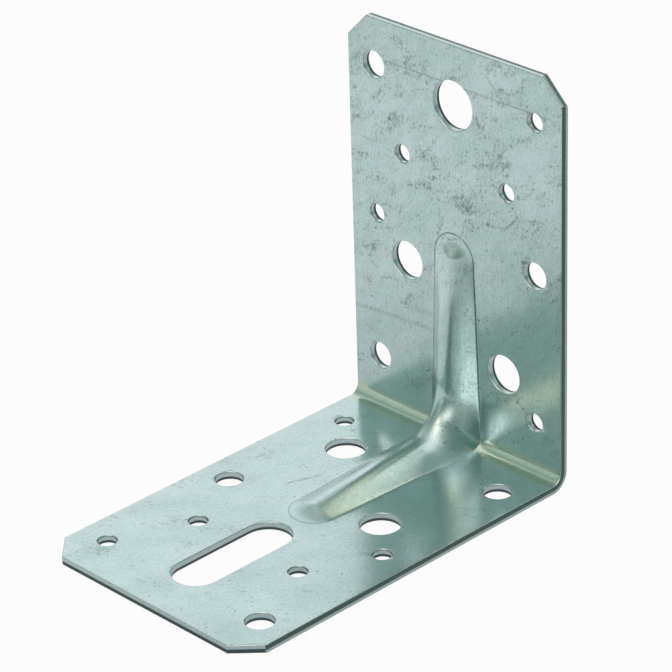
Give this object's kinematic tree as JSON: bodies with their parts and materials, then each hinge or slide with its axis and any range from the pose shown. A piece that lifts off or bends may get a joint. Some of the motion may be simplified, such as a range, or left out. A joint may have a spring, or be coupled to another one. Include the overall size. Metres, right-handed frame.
{
  "type": "ribbed angle bracket",
  "caption": "Square angle bracket of galvanised sheet with cut corners, staggered nail and bolt holes, a slot in the base leg and a rib pressed across the fold.",
  "frame": {"origin": "middle of the bounding box on the plane of the base leg's underside", "axes": "+X along the fold, base leg's free end towards -Y, upright leg's outer face towards +Y, upright leg along +Z"},
  "size_m": [0.065, 0.1, 0.1],
  "materials": {
    "galvanised_sheet": "galvanised, satin with faint spangle"
  },
  "bodies": {
    "root": {"bracket": "galvanised_sheet"}
  },
  "joints": []
}
